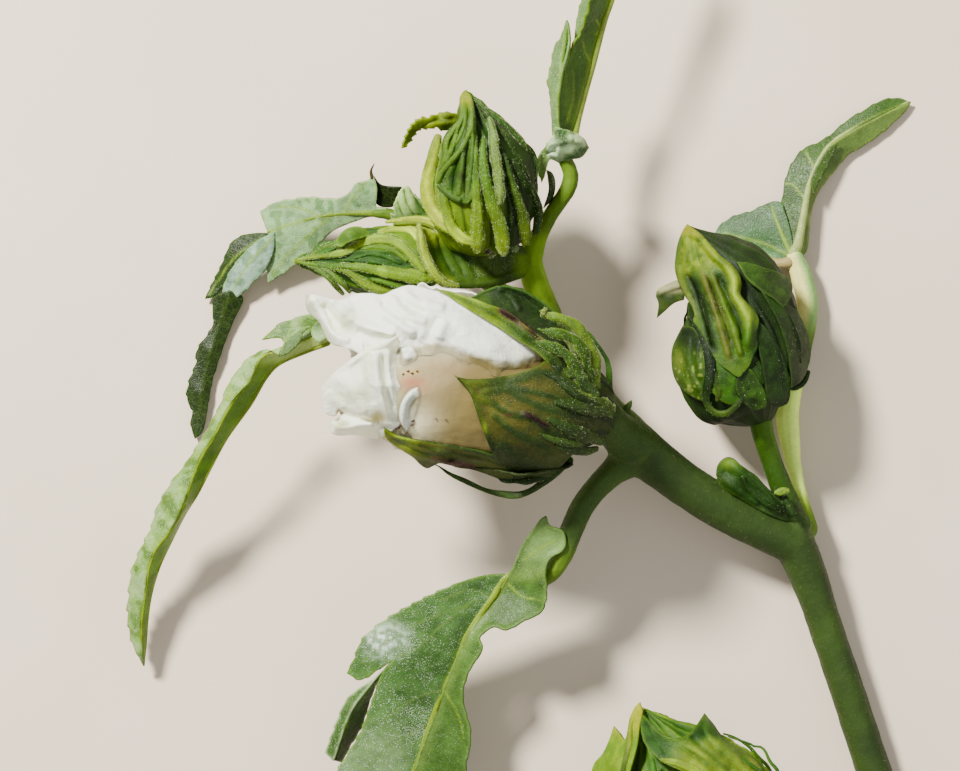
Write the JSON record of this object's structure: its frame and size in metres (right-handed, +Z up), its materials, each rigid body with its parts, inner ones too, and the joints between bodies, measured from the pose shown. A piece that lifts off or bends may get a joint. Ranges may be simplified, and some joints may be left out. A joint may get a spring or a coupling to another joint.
{
  "type": "cut flowering roselle shoot",
  "caption": "Cut flowering shoot of a roselle plant, lying down: branched green stem with lobed leaves, ribbed green buds and a crumpled white bloom in its calyx.",
  "frame": {"origin": "middle of the foot of the whole shoot's box, on the surface that it lies on", "axes": "+Z up; the shoot lies along +Y, with the cut end of its stem towards -Y and the leaf at its top towards +Y; the bloom opens towards -X"},
  "size_m": [0.1252, 0.1612, 0.0394],
  "materials": {
    "stem": "matt, finely hairy",
    "young_stalk": "satin, finely hairy",
    "leaf": "satin, hairy, with pale veins",
    "young_leaf": "satin, hairy",
    "bud": "satin, ribbed, with yellow-green edges",
    "petal": "soft, translucent, crumpled"
  },
  "bodies": {
    "root": {"main_stem_lower": "stem", "main_stem_middle": "stem", "main_stem_upper": "stem", "right_peduncle": "stem", "right_bud": "bud", "right_leaf_petiole": "young_stalk", "right_leaf_blade": "leaf", "right_leaf_lobe": "leaf", "fork_axillary_shoot": "young_leaf", "top_bud": "bud", "side_bud": "bud", "cluster_bract": "young_leaf", "cluster_curled_leaf": "young_leaf", "cluster_stipule": "young_leaf", "top_leaf_petiole": "young_stalk", "top_leaf_blade": "leaf", "back_leaf_petiole": "young_stalk", "back_leaf_blade": "leaf", "back_leaf_hanging_lobe": "leaf", "flower_peduncle": "stem", "flower_corolla": "petal", "flower_calyx": "bud", "left_leaf_petiole": "young_stalk", "left_leaf_blade": "leaf", "lower_leaf_petiole": "stem", "lower_leaf_blade": "leaf", "lower_peduncle": "stem", "lower_bud": "bud"}
  },
  "joints": []
}
